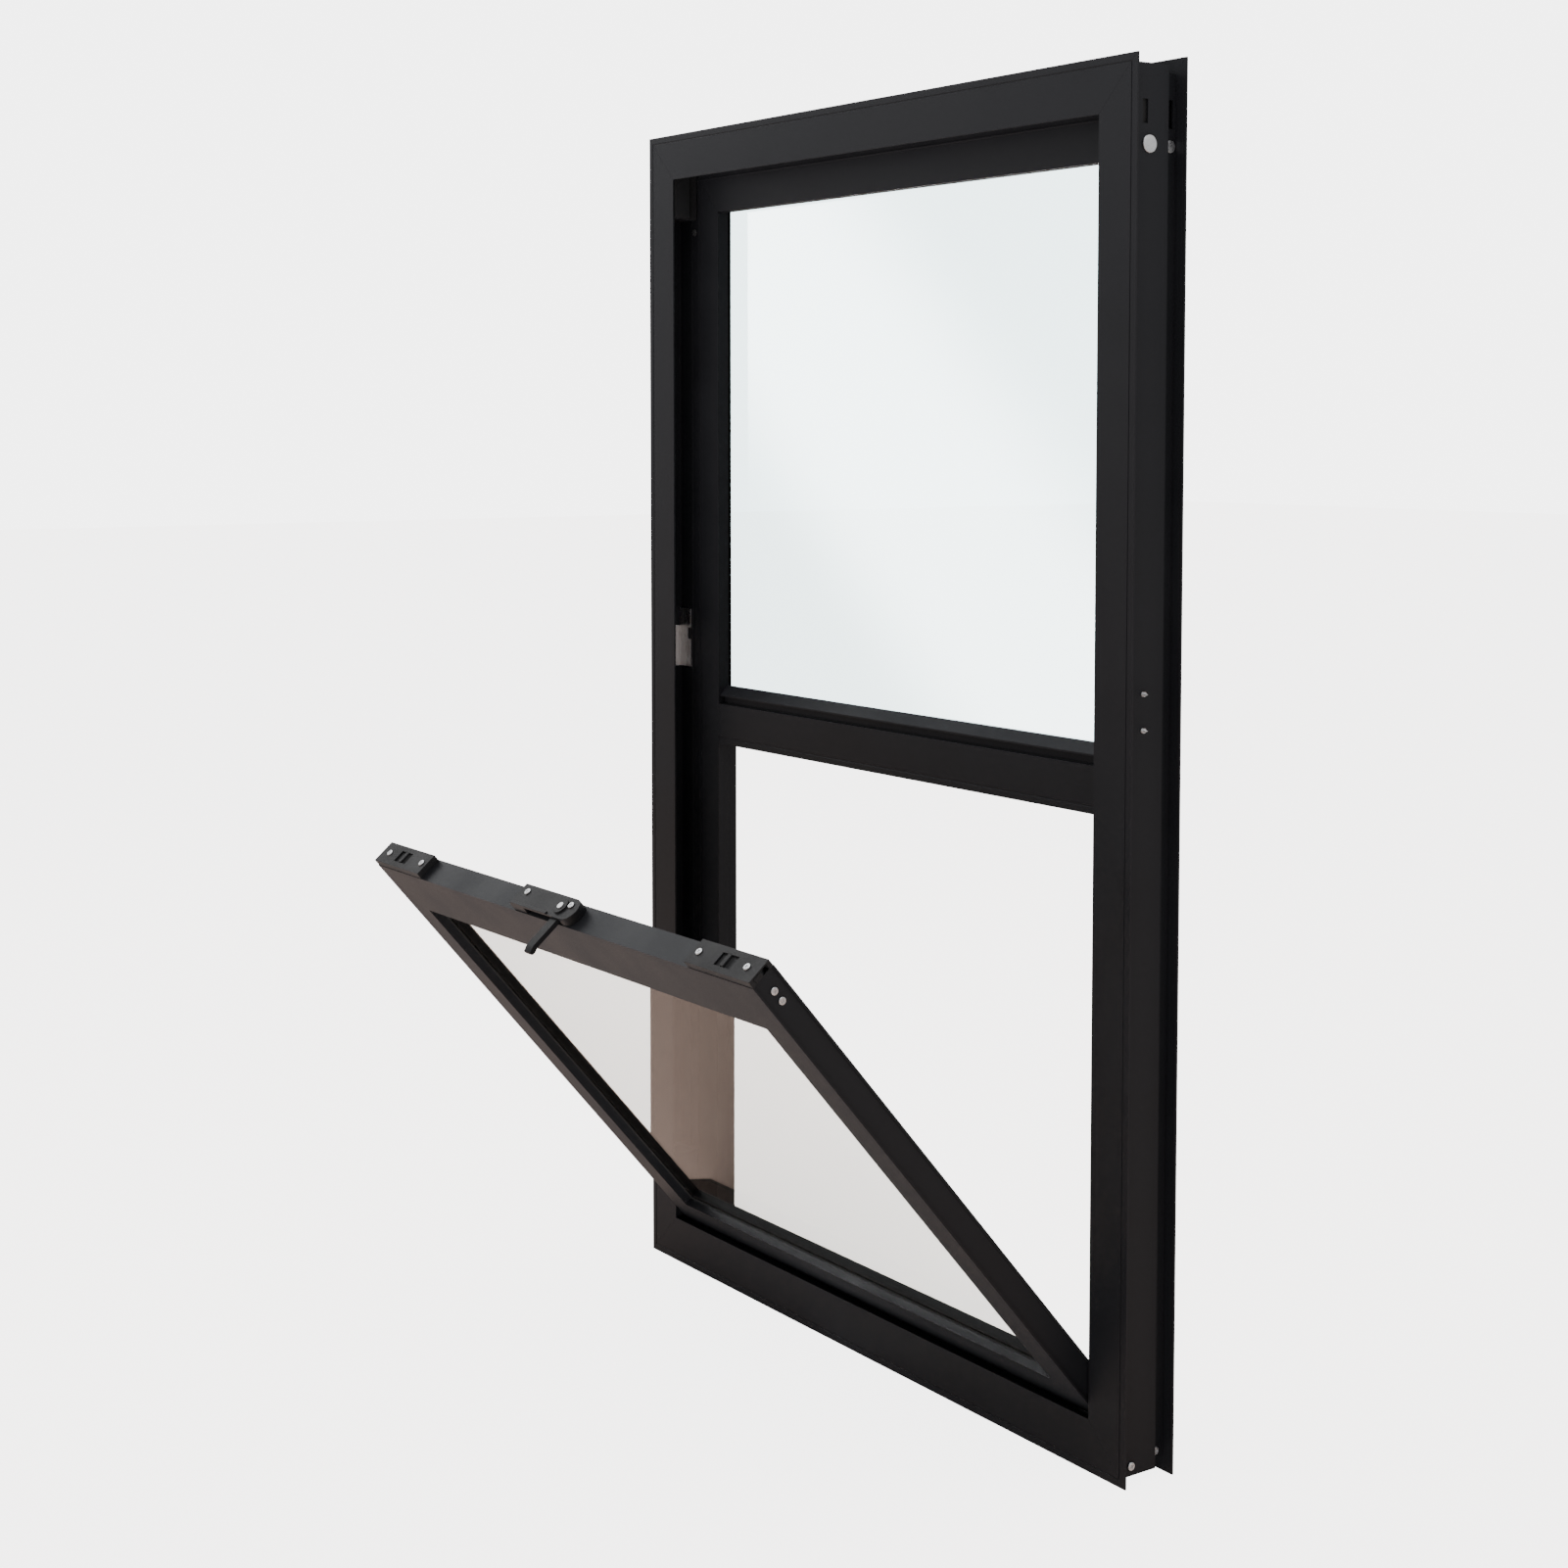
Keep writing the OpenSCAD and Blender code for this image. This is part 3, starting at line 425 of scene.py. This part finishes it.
tilt = radians(40.5)
pivot = Vector((0, 0.016 - seat_y, 0.062 - fin))
sash_end = 0.3325             # from the middle to the sash's end
reach = 0.551                 # from the pivot to the top of the sash
up_sash = Vector((0, -sin(tilt), cos(tilt)))
out_of_sash = Vector((0, cos(tilt), sin(tilt)))


def on_sash(x, up, out):
    """Point on the tilted sash: across, up from the pivot and out from its middle."""
    return Vector((x, 0, 0)) + pivot + up_sash * up + out_of_sash * out


sash_screw = {"head_r": 0.0034, "head_h": 0.0013, "shank_r": 0.00195}
end_wall = 0.0015             # a stile's end wall, in from the sash's end
end_screws = []
for side in (-1, 1):
    for up, out, turned in ((reach - 0.017, 0, 0.2), (reach - 0.0285, 0, 0.9),
                            (0.004, -0.0078, 0.5), (0.004, 0.0078, 1.3)):
        end_screws.append((on_sash(side * (sash_end - end_wall), up, out), (side, 0, 0), turned))
drive_screws("sash_corner_screws", "sash_screws", "sash", zinc, end_screws,
             length=0.042, point=0, **sash_screw)

# --- pile weather strips -------------------------------------------------------------
# Woven backing with three rows of polypropylene tufts, slid along the sash's outer face.
pile_yarn = finish("pile_yarn", (0.012, 0.012, 0.013), (0.035, 0.035, 0.037), 0.75, 0.95,
                   2500, 80, 0.0001, Sheen_Weight=0.3)
pile_high = 0.0047
backing_w = 0.006
backing_t = 0.001
tuft_foot = 0.0008            # the tufts start inside the backing
tuft_high = pile_high - tuft_foot
tuft_gap = 0.0022
row_gap = 0.0018


def repeat(piece, count, step):
    copies = piece.modifiers.new("copies", "ARRAY")
    copies.count = count
    copies.use_relative_offset = False
    copies.use_constant_offset = True
    copies.constant_offset_displace = step
    bpy.ops.object.modifier_apply(modifier=copies.name)


def pile_strip(name, node, start, along, across, length):
    """Strip laid from start, its length along one way of the sash and its width across it."""
    bpy.ops.object.select_all(action="DESELECT")
    bpy.ops.mesh.primitive_cube_add(size=1, location=(length / 2, 0, backing_t / 2),
                                    scale=(length, backing_w, backing_t))
    strip = bpy.context.object
    bpy.ops.object.transform_apply(location=True, scale=True)
    bpy.ops.mesh.primitive_cone_add(vertices=5, radius1=0.0010, radius2=0.0006, depth=tuft_high,
                                    location=(0.0012, -row_gap, tuft_foot + tuft_high / 2),
                                    rotation=(0.05, 0.04, 0.3))
    tuft = bpy.context.object
    bpy.ops.object.transform_apply(location=True, rotation=True)
    repeat(tuft, 3, (0.0007, row_gap, 0))
    repeat(tuft, int((length - 0.004) / tuft_gap), (tuft_gap, 0, 0))
    select_only(strip)
    tuft.select_set(True)
    bpy.ops.object.join()
    strip.name = name
    turn = Matrix((along, across, out_of_sash)).transposed().to_4x4()
    strip.data.transform(Matrix.Translation(start) @ turn)
    paint(strip, pile_yarn)
    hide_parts(node)
    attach(strip, "sash")


crosswise = Vector((1, 0, 0))
sash_face = 0.013             # outer face of the sash, from its middle
stile_w = 0.036
pile_in = 0.015               # side strips, in from the sash's end
for side, name in ((-1, "left"), (1, "right")):
    pile_strip("pile_" + name, "sash_pile_" + name,
               on_sash(side * (sash_end - pile_in), 0.002, sash_face),
               up_sash, -crosswise, reach - 0.032)
pile_strip("pile_top", "sash_pile_top", on_sash(-sash_end + stile_w, reach - 0.023, sash_face),
           crosswise, up_sash, 2 * (sash_end - stile_w))

# --- pivots ---------------------------------------------------------------------------
# Flat steel bars out of the sash's foot, each driving a nylon cam in its shoe.
for node in ("pivot_bar_left", "pivot_bar_right"):
    eased(node, "sash", zinc, 0.0003)
for node in ("pivot_cam_left", "pivot_cam_right"):
    eased(node, "sash", nylon, 0.0003)

# --- tilt latches -----------------------------------------------------------------------
# Moulded cases screwed to the top rail, each with a bolt that a thumb draws in.
for side in ("left", "right"):
    eased("latch_case_" + side, "sash", nylon, 0.0006, 3)
    eased("latch_bolt_" + side, "latch_" + side, nylon, 0.0004)
    paint(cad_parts["latch_spring_" + side], spring_steel)
latch_top = reach + 0.007
latch_places = [(on_sash(side * (sash_end - inset), latch_top, 0), up_sash, turned)
                for side in (-1, 1) for inset, turned in ((0.016, 0.3), (0.085, 0.8))]
drive_screws("latch_case_screws", "latch_screws", "sash", zinc, latch_places,
             length=0.013, point=0, **sash_screw)

# --- sash lock ---------------------------------------------------------------------------
# Die-cast zinc case in satin black, with its lever turned out into the room.
lock_enamel = finish("lock_enamel", (0.005, 0.005, 0.006), (0.008, 0.008, 0.009), 0.38, 0.48, 600,
                     20, 0.00004, Specular_IOR_Level=0.2)
eased("lock_case", "sash", lock_enamel, 0.0008, 3)
eased("lock_lever", "lock", lock_enamel, 0.0008, 3)
eased("lock_cam", "lock", zinc, 0.0004)
paint(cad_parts["lock_pin"], zinc)
lock_top = reach + 0.009
lock_places = [(on_sash(x, lock_top, 0.004), up_sash, 0.4) for x in (-0.039, 0.039)]
drive_screws("lock_case_screws", "lock_screws", "sash", zinc, lock_places,
             length=0.016, point=0, **sash_screw)

# --- floor and light ------------------------------------------------------------------------
# A pale floor and a white room, both far brighter to the camera than to the window, two
# soft lamps, and a white card to the left that only mirror rays see, as a slanting band
# in the glass.
floor_z = cad_box[0][2]
bpy.ops.object.select_all(action="DESELECT")
bpy.ops.mesh.primitive_plane_add(size=40, location=(0, 0, floor_z))
floor = bpy.context.object
floor.name = "floor"


def by_ray(tree, straight, bounced):
    """Strength seen straight on or through glass, and strength that lights the window."""
    rays = tree.nodes.new("ShaderNodeLightPath")
    lighting = tree.nodes.new("ShaderNodeMath")
    lighting.operation = "ADD"
    tree.links.new(rays.outputs["Diffuse Depth"], lighting.inputs[0])
    tree.links.new(rays.outputs["Glossy Depth"], lighting.inputs[1])
    strength = tree.nodes.new("ShaderNodeMapRange")
    strength.inputs["To Min"].default_value = straight
    strength.inputs["To Max"].default_value = bounced
    tree.links.new(lighting.outputs[0], strength.inputs["Value"])
    return strength.outputs[0]


pale_floor = finish("pale_floor", (0.52, 0.37, 0.30), (0.56, 0.41, 0.34), 0.7, 0.8, 30, 0.5,
                    0.00005, Emission_Color=(1, 1, 1, 1))
pale_floor.node_tree.links.new(by_ray(pale_floor.node_tree, 4.4, 0.0),
                               pale_floor.node_tree.nodes["Principled BSDF"]
                               .inputs["Emission Strength"])
paint(floor, pale_floor)

studio = bpy.data.worlds.new("studio")
bpy.context.scene.world = studio
studio.use_nodes = True
backdrop = studio.node_tree.nodes["Background"]
backdrop.inputs["Color"].default_value = (1, 1, 1, 1)
studio.node_tree.links.new(by_ray(studio.node_tree, 5.0, 0.55), backdrop.inputs["Strength"])


def softbox(name, place, aim, width, power):
    bpy.ops.object.light_add(type="AREA", location=place)
    lamp = bpy.context.object
    lamp.name = name
    lamp.data.size = width
    lamp.data.energy = power
    lamp.rotation_euler = (Vector(aim) - Vector(place)).to_track_quat("-Z", "Y").to_euler()


softbox("overhead", (0.4, -0.9, 3.2), (0, 0, 0.5), 2.4, 60)
softbox("high_left", (-2.6, -0.25, 2.2), (0, -0.35, 0.45), 1.4, 14)

card_middle = Vector((-3.15, -2.4, 0.84))
across_band = Vector((0.66, 0, 0.75))
bpy.ops.object.select_all(action="DESELECT")
bpy.ops.mesh.primitive_plane_add(size=2.8, location=card_middle, rotation=(radians(-90), 0, 0))
card = bpy.context.object
bpy.ops.object.transform_apply(location=True, rotation=True, scale=True)
card.name = "glow_card"
glow = bpy.data.materials.new("glow_card")
glow.use_nodes = True
tree = glow.node_tree
tree.nodes.remove(tree.nodes["Principled BSDF"])
where = tree.nodes.new("ShaderNodeTexCoord")
slant = tree.nodes.new("ShaderNodeVectorMath")
slant.operation = "DOT_PRODUCT"
slant.inputs[1].default_value = across_band
tree.links.new(where.outputs["Object"], slant.inputs[0])
middle = tree.nodes.new("ShaderNodeMath")
middle.operation = "SUBTRACT"
middle.inputs[1].default_value = card_middle.dot(across_band)
tree.links.new(slant.outputs["Value"], middle.inputs[0])
away = tree.nodes.new("ShaderNodeMath")
away.operation = "ABSOLUTE"
tree.links.new(middle.outputs[0], away.inputs[0])
band = tree.nodes.new("ShaderNodeMapRange")
band.interpolation_type = "SMOOTHERSTEP"
band.inputs["From Min"].default_value = 0.12
band.inputs["From Max"].default_value = 0.62
band.inputs["To Min"].default_value = 26.0
band.inputs["To Max"].default_value = 0.0
tree.links.new(away.outputs[0], band.inputs["Value"])
mirrored = tree.nodes.new("ShaderNodeMath")
mirrored.operation = "MULTIPLY"
card_rays = tree.nodes.new("ShaderNodeLightPath")
tree.links.new(card_rays.outputs["Is Singular Ray"], mirrored.inputs[0])
tree.links.new(band.outputs[0], mirrored.inputs[1])
lit = tree.nodes.new("ShaderNodeEmission")
tree.links.new(mirrored.outputs[0], lit.inputs["Strength"])
over = tree.nodes.new("ShaderNodeAddShader")
tree.links.new(lit.outputs[0], over.inputs[0])
tree.links.new(tree.nodes.new("ShaderNodeBsdfTransparent").outputs[0], over.inputs[1])
tree.links.new(over.outputs[0], tree.nodes["Material Output"].inputs["Surface"])
paint(card, glow)
card.visible_camera = card.visible_transmission = card.visible_diffuse = False
